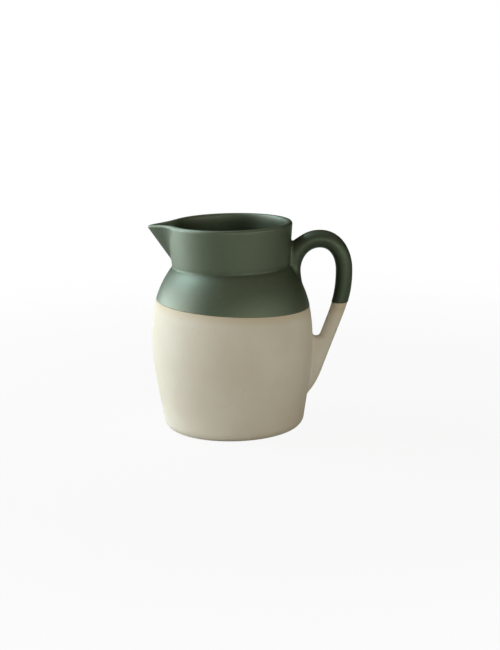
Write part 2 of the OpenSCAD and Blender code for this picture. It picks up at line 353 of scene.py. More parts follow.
@dataclass(frozen=True)
class GreenGlaze:
    """Sage green stoneware glaze, dipped and fired to a satin surface.

    It looks soft and dense: its satin skin gives a broad sheen towards the light, with a little of
    the green in it. It is cloudy where the coat is thicker. It is darker and duller inside, in the crease
    and on the handle, partly from pooling glaze and partly as painted shade; and paler along the lip,
    partly where it ran thinner over the edge and partly as a painted highlight.
    """

    body: str = "#243415"
    thick: str = "#1e2c11"
    # Painted shade, partly pooling glaze: inside the pot, in the crease and on the handle
    pooled_and_shade: str = "#161a0a"
    # Paler glaze for the random spots, and along the lip a painted highlight as well as thinner glaze
    thin_and_highlight: str = "#8d9a80"
    gleam: str = "#e2ffe2"
    roughness: float = 0.5
    ior: float = 1.8
    skin: float = 1.0
    skin_roughness: float = 0.5
    cloud_size: float = 38.0
    cloud_band: tuple[float, float] = (0.35, 0.65)
    mottle_size: float = 4.0
    mottle_band: tuple[float, float] = (0.5, 0.75)
    mottle_share: float = 0.06
    gloss_band: tuple[float, float] = (0.3, 0.7)
    gloss_spread: float = 0.04
    peel_size: float = 7.0
    peel_depth: float = 0.25
    peel_strength: float = 0.1

    def material(self) -> bpy.types.Material:
        """Makes the material, which reads the mesh's own shares of pooling glaze with painted shade, and of
        thinner glaze with a painted highlight.

        Returns:
            The material.
        """
        material = blank_material("sage_glaze_satin")
        tree = material.node_tree
        place = add_node(tree, "ShaderNodeTexCoord").outputs["Object"]
        clouds = ramp(tree, grain(tree, place, self.cloud_size, 3.0), self.cloud_band)
        coat = lay_over(tree, clouds, to_linear(self.body), to_linear(self.thick))
        mottle = grain(tree, place, self.mottle_size, 3.0)
        spots = ramp(tree, mottle, self.mottle_band, (0.0, self.mottle_share))
        mottled = lay_over(tree, spots, coat, to_linear(self.thin_and_highlight))
        # Painted shade where the glaze pools, and a painted highlight where it runs thinner over the lip
        pool_and_shade = add_node(tree, "ShaderNodeAttribute", attribute_name=Share.POOLED_AND_SHADE.value).outputs["Fac"]
        pooled_and_shade = lay_over(tree, pool_and_shade, mottled, to_linear(self.pooled_and_shade))
        thin_and_highlight = add_node(tree, "ShaderNodeAttribute", attribute_name=Share.THIN.value).outputs["Fac"]
        edged = lay_over(tree, thin_and_highlight, pooled_and_shade, to_linear(self.thin_and_highlight))
        dull = (self.roughness - self.gloss_spread, self.roughness + self.gloss_spread)
        peel = add_node(tree, "ShaderNodeBump",
                        {"Height": grain(tree, place, self.peel_size, 1.0),
                         "Strength": self.peel_strength, "Distance": self.peel_depth * MM})
        shader = add_node(tree, "ShaderNodeBsdfPrincipled",
                          {"Base Color": edged, "Roughness": ramp(tree, mottle, self.gloss_band, dull),
                           "IOR": self.ior, "Specular Tint": to_linear(self.gleam),
                           "Normal": peel.outputs["Normal"],
                           "Coat Weight": ramp(tree, pool_and_shade, ends=(self.skin, 0.0)),
                           "Coat Roughness": self.skin_roughness,
                           "Coat IOR": self.ior, "Coat Normal": peel.outputs["Normal"]})
        add_node(tree, "ShaderNodeOutputMaterial", {"Surface": shader.outputs["BSDF"]})
        return material


class Rows(NamedTuple):
    """How many steps the mesh takes on each stretch of the pot's wall; bend is its heel or well."""

    side: int
    crease: int
    collar: int
    bend: int = 0
    lip: int = 0


@dataclass(frozen=True)
class PotForm:
    """Outline of the thrown pot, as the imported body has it."""

    height: float
    belly_r: float
    belly_z: float = 83.0
    foot_r: float = 57.75
    heel_r: float = 10.5
    side_lean: float = 8.0
    crease_z: float = 158.0
    collar_r: float = 55.9
    shoulder_lean: float = 38.0
    crease_r: float = 5.0
    rim_r: float = 59.3
    wall: float = 4.4
    floor_t: float = 6.5
    well_r: float = 12.0
    foot_ring_w: float = 9.0
    foot_hollow: float = 1.5
    glaze_t: float = 0.4
    floor_shares: tuple[float, ...] = (0.8, 0.55, 0.3, 0.1)
    inside_rows: Rows = Rows(side=44, crease=8, collar=16, bend=8)
    outline_rows: Rows = Rows(side=240, crease=24, collar=30, bend=12)

    @property
    def flare(self) -> float:
        """Outward lean of the collar, in degrees."""
        return math.degrees(math.atan((self.rim_r - self.collar_r) / (self.height - self.crease_z)))

    @property
    def crease_arm(self) -> float:
        """Length that the hollow in the crease takes from shoulder and collar."""
        return self.crease_r * math.tan(math.radians((self.shoulder_lean + self.flare) / 2))

    @property
    def heel_end(self) -> tuple[float, float]:
        """Radius and height where the rounded heel runs into the side."""
        lean = math.radians(self.side_lean)
        return self.foot_r + self.heel_r * math.cos(lean), self.heel_r * (1 - math.sin(lean))

    @property
    def shoulder_end_z(self) -> float:
        """Height where the shoulder runs into the crease."""
        return self.crease_z - self.crease_arm * math.cos(math.radians(self.shoulder_lean))

    @property
    def lip_r(self) -> float:
        """Radius of the clay's rounded lip."""
        return self.wall / 2

    @property
    def lip_foot_z(self) -> float:
        """Height on the collar where the rounded lip begins."""
        lip_z = self.height - self.glaze_t - self.lip_r
        return lip_z - self.lip_r * math.sin(math.radians(self.flare))

    def line_r(self, z: np.ndarray) -> np.ndarray:
        """Radius of the straight collar at a height."""
        return self.collar_r + (z - self.crease_z) * math.tan(math.radians(self.flare))

    def spans(self) -> tuple[tuple, tuple]:
        """The lower and upper curves of the side, each as radii, slopes and rise."""
        lower = (self.heel_end[0], self.belly_r, math.tan(math.radians(self.side_lean)), 0.0,
                 self.belly_z - self.heel_end[1])
        upper = (self.belly_r, self.collar_r, 0.0, -math.tan(math.radians(self.shoulder_lean)),
                 self.crease_z - self.belly_z)
        return lower, upper

    def side(self, z: np.ndarray, out: float | np.ndarray) -> np.ndarray:
        """Points of the side at some heights, moved outwards and square to it.

        Args:
            z: Heights below the crease.
            out: How far the points are moved.

        Returns:
            Radius and height of each point.
        """
        lower, upper = self.spans()
        low_t = (z - self.heel_end[1]) / lower[4]
        high_t = (z - self.belly_z) / upper[4]
        is_low = z < self.belly_z
        radius = np.where(is_low, hermite(*lower, low_t), hermite(*upper, high_t))
        slope = np.where(is_low, hermite_slope(*lower, low_t), hermite_slope(*upper, high_t))
        square = out / np.sqrt(1 + slope * slope)
        return np.stack([radius + square, z - slope * square], axis=-1)

    def collar(self, z: float | np.ndarray, out: float) -> np.ndarray:
        """Points of the collar at some heights, moved outwards."""
        lean = math.radians(self.flare)
        return np.stack([self.line_r(z) + out * math.cos(lean), z - out * math.sin(lean)], axis=-1)

    def crease(self, out: float, steps: int) -> np.ndarray:
        """Points of the hollow between shoulder and collar, from the shoulder up."""
        top = self.crease_z + self.crease_arm * math.cos(math.radians(self.flare))
        centre = self.collar(top, self.crease_r)
        return arc(tuple(centre), self.crease_r - out, 180 + self.shoulder_lean, 180 - self.flare, steps)

    def lip(self, out: float, steps: int) -> np.ndarray:
        """Points over the rounded lip, from outside to inside."""
        centre = self.collar(self.lip_foot_z, -self.lip_r)
        return arc(tuple(centre), self.lip_r + out, -self.flare, 180 - self.flare, steps)

    def collar_rows(self, out: float, steps: int) -> np.ndarray:
        """Points up the collar between crease and lip, without its ends."""
        top = self.crease_z + self.crease_arm * math.cos(math.radians(self.flare))
        return self.collar(np.linspace(top, self.lip_foot_z, steps + 1)[1:-1], out)

    def inside(self, out: float) -> np.ndarray:
        """Points down the inside from below the lip to the edge of the floor.

        Args:
            out: Thickness of a coat on the clay.

        Returns:
            Radius and height of each point.
        """
        depth = -self.wall - out
        lean = math.radians(self.side_lean)
        well_end_z = self.floor_t + self.well_r * (1 - math.sin(lean))
        well_top_z = well_end_z - self.wall * math.sin(lean)
        well_top_r = self.side(np.array(well_top_z), -self.wall)[0]
        centre = (well_top_r - self.well_r * math.cos(lean), self.floor_t + self.well_r)
        rows = self.inside_rows
        return np.vstack([
            self.collar_rows(depth, rows.collar)[::-1],
            self.crease(depth, rows.crease)[::-1],
            self.side(np.linspace(self.shoulder_end_z, well_top_z, rows.side)[1:-1], depth),
            arc(centre, self.well_r - out, -self.side_lean, -90, rows.bend),
            [(centre[0] * share, self.floor_t + out) for share in self.floor_shares]])

    def heel_and_side(self, rows: Rows) -> np.ndarray:
        """Points up the clay's outer face, from under the heel to below the crease."""
        return np.vstack([
            arc((self.foot_r, self.heel_r), self.heel_r, -90, -self.side_lean, rows.bend),
            self.side(np.linspace(self.heel_end[1], self.shoulder_end_z, rows.side)[1:-1], 0.0)])

    def neck(self, out: float, rows: Rows) -> np.ndarray:
        """Points up through the crease and the collar to below the lip."""
        return np.vstack([self.crease(out, rows.crease), self.collar_rows(out, rows.collar)])

    def outline(self) -> np.ndarray:
        """Points up the clay's outer face from the heel to the lip, closely spaced."""
        rows = self.outline_rows
        lip_foot = self.collar(self.lip_foot_z, 0.0)
        return np.vstack([self.heel_and_side(rows), self.neck(0.0, rows), [lip_foot]])

    def distance(self, points: np.ndarray) -> np.ndarray:
        """Distance of points from the clay's outer face, positive outside."""
        outline = self.outline()
        slope = np.gradient(outline[:, 0], outline[:, 1] + 1e-6 * np.arange(len(outline)))
        radius = np.interp(points[:, 2], outline[:, 1], outline[:, 0])
        lean = np.interp(points[:, 2], outline[:, 1], slope)
        return (np.hypot(points[:, 0], points[:, 1]) - radius) / np.sqrt(1 + lean * lean)


@dataclass(frozen=True)
class BeakForm:
    """The beak spout: two cheeks that meet in a ridge, melt into the collar and hang at the tip."""

    reach: float = 19.8
    angle: float = 66.0
    ridge_r: float = 1.5
    foot_z: float = 165.0
    blend: float = 0.45
    foot_blend: float = 1.0
    tip_drop: float = 1.6
    fade_h: float = 4.0
    half_span: float = 60.0
    ray_gap: float = 0.01

    def drawn(self, pot: PotForm, angle: np.ndarray, rows: np.ndarray) -> np.ndarray:
        """Draws rows of the round collar out into the spout.

        Args:
            pot: The pot that carries it.
            angle: Angles from the ridge, in radians.
            rows: Radius and height on the round collar, by row and column.

        Returns:
            Radius and height with the spout.
        """
        half = math.radians(self.angle / 2)
        round_r, z = rows[..., 0], rows[..., 1]
        line = pot.line_r(z)
        rise = (z - self.foot_z) / (pot.height - self.foot_z)
        foot_r = pot.line_r(self.foot_z)
        spine = foot_r + (pot.rim_r + self.reach - foot_r) * rise
        ridge = spine + (round_r - line) / math.sin(half)
        ease = self.ridge_r / math.tan(half) / (ridge - self.ridge_r)
        apex = ridge * np.sin(half + ease) / math.sin(half)
        # Past this angle a cheek's straight line would never meet the ray from the axis
        parallel = math.pi - half
        beside = np.minimum(np.sqrt(angle * angle + ease * ease), parallel - self.ray_gap)
        blend = np.maximum(self.blend * (spine - line), self.foot_blend)
        beak = soft_max(round_r, apex * math.sin(half) / np.sin(half + beside), blend)
        in_front = np.abs(angle) < math.radians(self.half_span)
        share = smooth_step(pot.shoulder_end_z - self.fade_h, pot.crease_z, z) * in_front
        out = (beak - round_r) * share
        return np.stack([round_r + out, z - self.tip_drop * out / self.reach], axis=-1)


class GlazedClay(ABC):
    """A piece of fired clay and the coat of glaze on it."""

    pieces: list[bpy.types.Object]

    @abstractmethod
    def build_clay(self) -> bpy.types.Object:
        """Builds the bare clay."""

    @abstractmethod
    def build_coat(self) -> bpy.types.Object:
        """Builds the glaze on the clay."""

    def build(self) -> None:
        """Builds the clay and its coat."""
        self.pieces = [self.build_clay(), self.build_coat()]

    def dress(self, clay: bpy.types.Material, glaze: bpy.types.Material) -> None:
        """Gives the clay and its coat their materials."""
        for piece, material in zip(self.pieces, (clay, glaze)):
            piece.data.materials.append(material)


@dataclass
class ThrownPot(GlazedClay):
    """The thrown clay pot with its beak spout, and the glaze coat over its top and inside."""

    form: PotForm
    beak: BeakForm
    dip: DipLine
    beak_columns: int = 44
    beak_spread: float = 36.0
    beak_crowding: float = 1.5
    round_columns: int = 132
    edge_w: float = 0.7
    edge_shares: tuple[float, ...] = (0.0, 0.03, 0.12, 0.28, 0.5, 0.75, 1.0)
    hollow_shares: tuple[float, ...] = (0.1, 0.4, 0.7, 0.93)
    step_w: float = 0.6
    step_edge: float = 0.25
    step_rise: float = 0.2
    clay_rows: Rows = Rows(side=70, crease=8, collar=16, bend=14, lip=10)
    coat_rows: Rows = Rows(side=31, crease=10, collar=20, lip=16)
    under_rows: Rows = Rows(side=16, crease=6, collar=10, lip=8)
    dip_rounds: int = 8
    # A painted highlight pales the lip, partly thinner glaze there
    lip_thin_and_highlight: float = 0.15
    # Painted shade darkens the inside with depth below the lip, partly pooling glaze
    inside_pool_and_shade_depth: float = 10.0
    # Painted shade darkens and dulls the crease, hiding a highlight there, partly pooling glaze
    crease_pool_and_shade: float = 0.5
    crease_pool_and_shade_h: float = 3.0

    def angles(self) -> np.ndarray:
        """Angles of the mesh columns from the ridge in radians, closer together at the ridge."""
        share = np.linspace(-1, 1, 2 * self.beak_columns + 1)
        close = self.beak_spread * np.sign(share) * np.abs(share) ** self.beak_crowding
        rest = np.linspace(self.beak_spread, 360 - self.beak_spread, self.round_columns + 1)[1:-1]
        return np.radians(np.concatenate([close, rest]))

    def turn(self, rows: np.ndarray) -> np.ndarray:
        """Turns rows of radius and height round the axis, with the spout drawn out.

        Args:
            rows: Radius and height, by row, or by row and column.

        Returns:
            Points by row and column.
        """
        angle = self.angles()
        if rows.ndim == 2:
            rows = np.repeat(rows[:, None, :], len(angle), axis=1)
        aside = (angle + math.pi) % (2 * math.pi) - math.pi
        drawn = self.beak.drawn(self.form, aside, rows)
        radius = drawn[..., 0]
        return np.stack([-radius * np.cos(angle), radius * np.sin(angle), drawn[..., 1]], axis=-1)

    def build_clay(self) -> bpy.types.Object:
        """Builds the bare pot, from under its foot up over the lip and down to its floor."""
        form = self.form
        ring_in = form.foot_r - form.foot_ring_w
        hollow = [(share * ring_in, form.foot_hollow) for share in self.hollow_shares]
        # The step from the hollow down to the foot ring, with its corners softened
        step = [(ring_in - self.step_w, form.foot_hollow),
                (ring_in - self.step_edge, form.foot_hollow - self.step_rise),
                (ring_in + self.step_edge, self.step_rise), (ring_in + self.step_w, 0.0)]
        rows = self.clay_rows
        outline = np.vstack([hollow, step, form.heel_and_side(rows), form.neck(0.0, rows),
                             form.lip(0.0, rows.lip), form.inside(0.0)])
        piece = ring_skin("thrown_pot", self.turn(outline), (0, 0, form.foot_hollow), (0, 0, form.floor_t))
        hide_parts("body", "spout", "spout_slip")
        return piece

    def dip_heights(self) -> np.ndarray:
        """Height of the dip line on the pot's side, by column."""
        angle = self.angles()
        height = np.full(len(angle), self.dip.height)
        for _ in range(self.dip_rounds):
            radius = self.form.side(height, 0.0)[:, 0]
            height = self.dip.height + radius * np.cos(angle) * self.dip.fall
        return height

    def coat_outside(self, start: np.ndarray) -> np.ndarray:
        """Rows of the coat's face, from its rounded edge at the dip line's heights up to the lip."""
        form = self.form
        thick = form.glaze_t
        rounding = np.array(self.edge_shares) * self.edge_w
        out = thick * np.sqrt(1 - (1 - rounding / self.edge_w) ** 2)
        edge = form.side(start + rounding[:, None], out[:, None])
        climb = np.linspace(0, 1, self.coat_rows.side)[1:-1, None]
        foot = start + self.edge_w
        shoulder = form.side(foot + (form.shoulder_end_z - foot) * climb, thick)
        neck = form.neck(thick, self.coat_rows)
        return np.vstack([self.turn(edge), self.turn(shoulder), self.turn(neck)])

    def coat_underside(self, start: np.ndarray) -> np.ndarray:
        """Rows of the coat's underside, on the clay from the dip line's heights to the floor."""
        form = self.form
        rows = self.under_rows
        climb = np.linspace(0, 1, rows.side)[1:-1, None]
        side = form.side(start + (form.shoulder_end_z - start) * climb, 0.0)
        top = np.vstack([form.neck(0.0, rows), form.lip(0.0, rows.lip), form.inside(0.0)])
        return np.vstack([self.turn(side), self.turn(top)])

    def build_coat(self) -> bpy.types.Object:
        """Builds the glaze coat, a slim closed skin from the dip line over the lip to the floor."""
        form = self.form
        start = self.dip_heights()
        inside = self.turn(form.inside(form.glaze_t))
        lip = self.turn(form.lip(form.glaze_t, self.coat_rows.lip))
        face = np.vstack([self.coat_outside(start), lip, inside])
        rings = np.vstack([face[::-1], self.coat_underside(start)])
        piece = ring_skin("glaze_coat", rings, (0, 0, form.floor_t + form.glaze_t), (0, 0, form.floor_t))
        first, last = len(inside), len(inside) + len(lip)
        # Painted highlight: the lip is paler, partly where the glaze runs thinner
        thin_and_highlight = np.zeros(rings.shape[:2])
        thin_and_highlight[first:last] = self.lip_thin_and_highlight * np.sin(np.linspace(0, math.pi, len(lip)))[:, None] ** 2
        # Painted shade: the inside darkens with depth below the lip, partly pooling glaze
        pooled_and_shade = np.zeros(rings.shape[:2])
        pooled_and_shade[:first] = smooth_step(0, self.inside_pool_and_shade_depth, form.height - rings[:first, :, 2])
        # Painted shade: the crease darkens and dulls, hiding a highlight, partly pooling glaze
        from_crease = (rings[first:, :, 2] - form.crease_z) / self.crease_pool_and_shade_h
        pooled_and_shade[first:] = self.crease_pool_and_shade * np.exp(-from_crease ** 2)
        for share, values in ((Share.THIN, thin_and_highlight), (Share.POOLED_AND_SHADE, pooled_and_shade)):
            mark(piece.data, share, np.append(values.ravel(), (0, 0)))
        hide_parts("collar_glaze", "liner_glaze", "spout_glaze")
        return piece


class Station(NamedTuple):
    """A place along the handle: its outer and inner edge, their headings, and the width across."""

    outer: np.ndarray
    outer_heading: float
    inner: np.ndarray
    inner_heading: float
    width: float


@dataclass(frozen=True)
class HandleForm:
    """Sizes of the pulled handle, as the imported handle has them."""

    reach: float
    crown_drop: float = 10.0
    crown_out: float = 26.0
    back_drop: float = 38.0
    crown_t: float = 16.2
    back_t: float = 15.2
    run_t: float = 14.0
    run_lean: float = 21.5
    root_w: float = 18.5
    crown_w: float = 18.5
    run_w: float = 17.0
    tail_w: float = 18.0
    root_drop: float = 21.5
    root_h: float = 38.0
    root_web: float = 10.4
    crotch_z: float = 86.8
    crotch_w: float = 8.5
    tail_z: float = 29.5
    run_drop: float = 5.5
    run_step: float = 9.5
    bury: float = 9.0
    press: float = 1.2
    root_heading: float = 32.0
    tail_heading: float = -132.0
    arm_share: float = 0.4
    crotch_share: float = 0.4
    web_bury: float = 18.0
    tail_bury: float = 13.5

    def stations(self, pot: PotForm) -> list[Station]:
        """Places along the handle, from inside the collar to inside the belly.

        Args:
            pot: The pot that carries the handle.

        Returns:
            The stations in order.
        """
        def side_r(z: float) -> float:
            """Radius of the pot's side at a height."""
            return float(pot.side(np.array(z), 0.0)[0])

        crown = np.array([pot.rim_r + self.crown_out, pot.height - self.crown_drop])
        back = np.array([pot.belly_r + self.reach, crown[1] - self.back_drop])
        root_z = pot.height - self.root_drop
        root_out = np.array([pot.line_r(root_z), root_z]) - self.press * heading(self.root_heading)
        web = np.array([pot.line_r(pot.crease_z) + self.root_web, root_z - self.root_h + self.root_web])
        run = -90 - self.run_lean
        slant = math.tan(math.radians(self.run_lean))
        belly_x = side_r(self.crotch_z)
        run_in = np.array([belly_x + self.crotch_w, self.crotch_z + self.run_drop])
        run_out = run_in + np.array([self.run_t / math.cos(math.radians(self.run_lean)), 0])
        crotch_out = run_out - self.run_step * np.array([slant, 1])
        crotch_in = np.array([belly_x + self.crotch_share * self.crotch_w, self.crotch_z])
        mid_z = (self.crotch_z + self.tail_z) / 2
        mid_out = np.array([crotch_out[0] - (crotch_out[1] - mid_z) * slant, mid_z])
        mid_in = np.array([side_r(mid_z) - self.bury / 2, mid_z])
        tail = np.array([side_r(self.tail_z), self.tail_z])
        tail_out = tail + self.press * heading(self.tail_heading)
        tail_in = tail - np.array([self.tail_bury, 0])
        back_w = (self.crown_w + self.run_w) / 2
        return [
            Station(root_out - self.bury * heading(self.root_heading), self.root_heading,
                    web - np.array([0, self.web_bury]), 90, self.root_w),
            Station(root_out, self.root_heading, web, 90, self.root_w),
            Station(crown, 0, crown - np.array([0, self.crown_t]), 0, self.crown_w),
            Station(back, -90, back - np.array([self.back_t, 0]), -90, back_w),
            Station(run_out, run, run_in, run, self.run_w),
            Station(crotch_out, run, crotch_in, -180, self.run_w),
            Station(mid_out, run, mid_in, -90, self.tail_w),
            Station(tail_out, self.tail_heading, tail_in, -90, self.tail_w),
            Station(tail_out + self.bury * heading(self.tail_heading), self.tail_heading,
                    tail_in - self.bury, -90, self.tail_w / 2)]

    def edge(self, p: np.ndarray, a: float, q: np.ndarray, b: float, t: np.ndarray) -> np.ndarray:
        """Points of the curve from p with heading a to q with heading b."""
        arm = self.arm_share * np.linalg.norm(q - p)
        p1 = p + arm * heading(a)
        q1 = q - arm * heading(b)
        s = 1 - t
        return s ** 3 * p + 3 * s * s * t * p1 + 3 * s * t * t * q1 + t ** 3 * q

    def rings(self, pot: PotForm, steps: int, sides: int) -> np.ndarray:
        """Oval rings along the whole handle.

        Args:
            pot: The pot that carries it.
            steps: Rings on each stretch between two stations.
            sides: Points on each ring.

        Returns:
            Points by ring and place on the ring.
        """
        stations = self.stations(pot)
        turn = np.linspace(0, 2 * math.pi, sides, endpoint=False)
        rings = []
        for p, q in zip(stations[:-1], stations[1:]):
            for t in np.arange(steps) / steps:
                outer = self.edge(p.outer, p.outer_heading, q.outer, q.outer_heading, t)
                inner = self.edge(p.inner, p.inner_heading, q.inner, q.inner_heading, t)
                wide = p.width + (q.width - p.width) * t * t * (3 - 2 * t)
                middle = (outer + inner) / 2 + np.cos(turn)[:, None] * (outer - inner) / 2
                rings.append(np.stack([middle[:, 0], wide / 2 * np.sin(turn), middle[:, 1]], axis=-1))
        return np.array(rings)


def surface_net(values: np.ndarray, level: float) -> tuple[np.ndarray, np.ndarray]:
    """Lays quads along the surface where a field on a grid passes a level.

    Args:
        values: The field, on a grid.
        level: The level of the surface; the inside is below it.

    Returns:
        Corners in grid steps, and quads with their faces turned to the outside.
    """
    cells = np.array(values.shape) - 1
    low = values - level
    starts = [(i, j, k) for i in (0, 1) for j in (0, 1) for k in (0, 1)]

    def corner(start: tuple[int, int, int]) -> np.ndarray:
        """The field at one corner of each cell."""
        return low[tuple(slice(s, s + c) for s, c in zip(start, cells))]

    count = sum((corner(s) < 0).astype(int) for s in starts)
    mixed = (count > 0) & (count < 8)
    total = np.zeros((int(mixed.sum()), 3))
    cuts = np.zeros((len(total), 1))
    for start in starts:
        for axis in range(3):
            if start[axis]:
                continue
            stop = tuple(1 if i == axis else s for i, s in enumerate(start))
            here, there = corner(start)[mixed], corner(stop)[mixed]
            is_cut = (here < 0) != (there < 0)
            point = np.tile(np.array(start, float), (len(total), 1))
            point[:, axis] = here / np.where(is_cut, here - there, 1)
            total[is_cut] += point[is_cut]
            cuts[is_cut] += 1
    number = np.full(tuple(cells), -1)
    number[mixed] = np.arange(len(total))
    quads = []
    for axis in range(3):
        u, v = np.eye(3, dtype=int)[[(axis + 1) % 3, (axis + 2) % 3]]
        here = low < 0
        there = np.roll(here, -1, axis=axis)
        spots = np.argwhere(here != there)
        fits = (spots[:, axis] < cells[axis]) & np.all((spots - u - v >= 0) & (spots < cells), axis=1)
        spots = spots[fits]
        around = np.stack([number[tuple((spots - step).T)] for step in (0 * u, u, u + v, v)], axis=-1)
        outward = here[tuple(spots.T)]
        quads.append(np.where(outward[:, None], around, around[:, ::-1]))
    return np.argwhere(mixed) + total / cuts, np.vstack(quads)


@dataclass
class PulledHandle(GlazedClay):
    """The pulled handle, smoothed onto collar and belly, and the glaze on its upper part."""

    form: HandleForm
    pot: PotForm
    dip: DipLine
    rod_steps: int = 24
    rod_sides: int = 48
    grid_step: float = 1.25
    grid_margin: tuple[float, ...] = (4.0, 12.0, 4.0)
    settle_rounds: int = 3
    probe: float = 0.05
    least_slope: float = 0.2
    deepest: float = 6.0
    far_off: float = 99.0
    fillet_heights: tuple[float, ...] = (28.0, 34.0, 48.0, 74.0, 92.0, 134.0, 144.0, 153.0, 172.0, 180.0)
    fillet_sizes: tuple[float, ...] = (0.8, 0.8, 2.0, 2.5, 5.0, 2.0, 4.5, 6.0, 3.0, 3.0)
    sunk: float = 0.03
    pressed: float = 1.5
    edge_w: float = 0.7
    edge_shares: tuple[float, ...] = (1.0, 0.6, 0.3, 0.1, 0.0)
    overlap: float = 0.02
    # Painted shade over the whole handle coat, partly a thicker pooling of glaze
    pooled_and_shade: float = 0.62
    rod: BVHTree = field(init=False)
    corners: tuple[np.ndarray, np.ndarray] = field(init=False)
    grid_values: np.ndarray | None = field(init=False, default=None)

    def __post_init__(self) -> None:
        """Lays the plain rod that the joined surface is measured from."""
        rings = self.form.rings(self.pot, self.rod_steps, self.rod_sides)
        quads = quad_rows(*rings.shape[:2])[2][:, [0, 3, 2, 1]]
        self.rod = BVHTree.FromPolygons(rings.reshape(-1, 3).tolist(), quads.tolist())
        self.corners = rings.min(axis=(0, 1)), rings.max(axis=(0, 1))

    def rod_distance(self, points: np.ndarray) -> np.ndarray:
        """Distance of points from the plain rod, positive outside."""
        distance = np.empty(len(points))
        for i, point in enumerate(points.tolist()):
            spot, normal, _, length = self.rod.find_nearest(point)
            distance[i] = math.copysign(length, (Vector(point) - spot).dot(normal))
        return distance

    def joined(self, points: np.ndarray) -> tuple[np.ndarray, np.ndarray]:
        """Distance from rod and pot together, with a fillet between them.

        Args:
            points: Points in millimetres.

        Returns:
            The distance, and how far each point is from the rod, in fillet sizes.
        """
        side = self.pot.distance(points)
        rod = np.full(len(points), self.far_off)
        near = side > -self.deepest
        rod[near] = self.rod_distance(points[near])
        fillet = np.interp(points[:, 2], self.fillet_heights, self.fillet_sizes)
        return -soft_max(-rod, -side, fillet), (rod - side) / fillet

    def surface(self, level: float) -> tuple[np.ndarray, np.ndarray]:
        """The handle's outside with its fillets, cut off where it has melted into the pot.

        Args:
            level: How far outside the clay the surface lies.

        Returns:
            Corners in millimetres, and quads.
        """
        margin = np.array(self.grid_margin)
        low = self.corners[0] - margin
        if self.grid_values is None:
            counts = np.ceil((self.corners[1] + margin - low) / self.grid_step).astype(int)
            grid = np.stack(np.meshgrid(*[np.arange(n) for n in counts], indexing="ij"), axis=-1)
            self.grid_values = self.joined(low + grid.reshape(-1, 3) * self.grid_step)[0].reshape(counts)
        corners, quads = surface_net(self.grid_values, level)
        points = low + corners * self.grid_step
        for _ in range(self.settle_rounds):
            slopes = []
            for step in np.eye(3) * self.probe:
                rise = self.joined(points + step)[0] - self.joined(points - step)[0]
                slopes.append(rise / (2 * self.probe))
            slope = np.stack(slopes, axis=-1)
            miss = self.joined(points)[0] - level
            points -= slope * (miss / np.maximum((slope ** 2).sum(axis=1), self.least_slope))[:, None]
        melted = self.joined(points)[1] >= 1
        kept = quads[~melted[quads].all(axis=1)]
        used, quads = np.unique(kept, return_inverse=True)
        points, melted = points[used], melted[used]
        inward = points[melted] * (1, 1, 0)
        points[melted] -= self.sunk * inward / np.linalg.norm(inward, axis=1)[:, None]
        return points, quads.reshape(-1, 4)

    def build_clay(self) -> bpy.types.Object:
        """Builds the whole clay handle, closed inside the pot's wall."""
        points, quads = self.surface(0.0)
        piece = new_piece("pulled_handle", points, quads.tolist())
        shell = bmesh.new()
        shell.from_mesh(piece.data)
        rims = [e for e in shell.edges if e.is_boundary]
        skirts = bmesh.ops.extrude_edge_only(shell, edges=rims)["geom"]
        for corner in [g for g in skirts if isinstance(g, bmesh.types.BMVert)]:
            corner.co -= self.pressed * MM * corner.co.xy.to_3d().normalized()
        rims = [g for g in skirts if isinstance(g, bmesh.types.BMEdge) and g.is_boundary]
        ends = bmesh.ops.holes_fill(shell, edges=rims, sides=0)["faces"]
        bmesh.ops.triangulate(shell, faces=ends)
        shell.to_mesh(piece.data)
        shell.free()
        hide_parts("handle", "upper_handle_slip", "lower_handle_slip")
        return piece

    def build_coat(self) -> bpy.types.Object:
        """Builds the glaze on the handle, a closed sleeve that ends at the dip line."""
        thick = self.pot.glaze_t
        points, quads = self.surface(thick)
        piece = new_piece("handle_coat", points, quads.tolist())
        square = Vector((self.dip.fall, 0, 1)).normalized()
        shell = bmesh.new()
        shell.from_mesh(piece.data)
        for share in self.edge_shares:
            spot = Vector((0, 0, self.dip.height + share * self.edge_w)) * MM
            everything = shell.verts[:] + shell.edges[:] + shell.faces[:]
            bmesh.ops.bisect_plane(shell, geom=everything, dist=1e-7, plane_co=spot, plane_no=square,
                                   clear_inner=share == 0.0)
        shell.normal_update()
        foot = Vector((0, 0, self.dip.height)) * MM
        for corner in shell.verts:
            share = min((corner.co - foot).dot(square) / (self.edge_w * MM), 1)
            drop = thick * (1 - math.sqrt(max(1 - (1 - share) ** 2, 0)))
            corner.co -= corner.normal * drop * MM
        shell.to_mesh(piece.data)
        shell.free()
        sleeve = piece.modifiers.new("sleeve", "SOLIDIFY")
        sleeve.thickness = (thick + self.overlap) * MM
        sleeve.offset = -1
        mesh = bpy.data.meshes.new_from_object(piece.evaluated_get(bpy.context.evaluated_depsgraph_get()))
        piece.modifiers.clear()
        piece.data = mesh
        mesh.name = piece.name
        mark(mesh, Share.POOLED_AND_SHADE, np.full(len(mesh.vertices), self.pooled_and_shade))
        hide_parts("handle_glaze")
        return piece


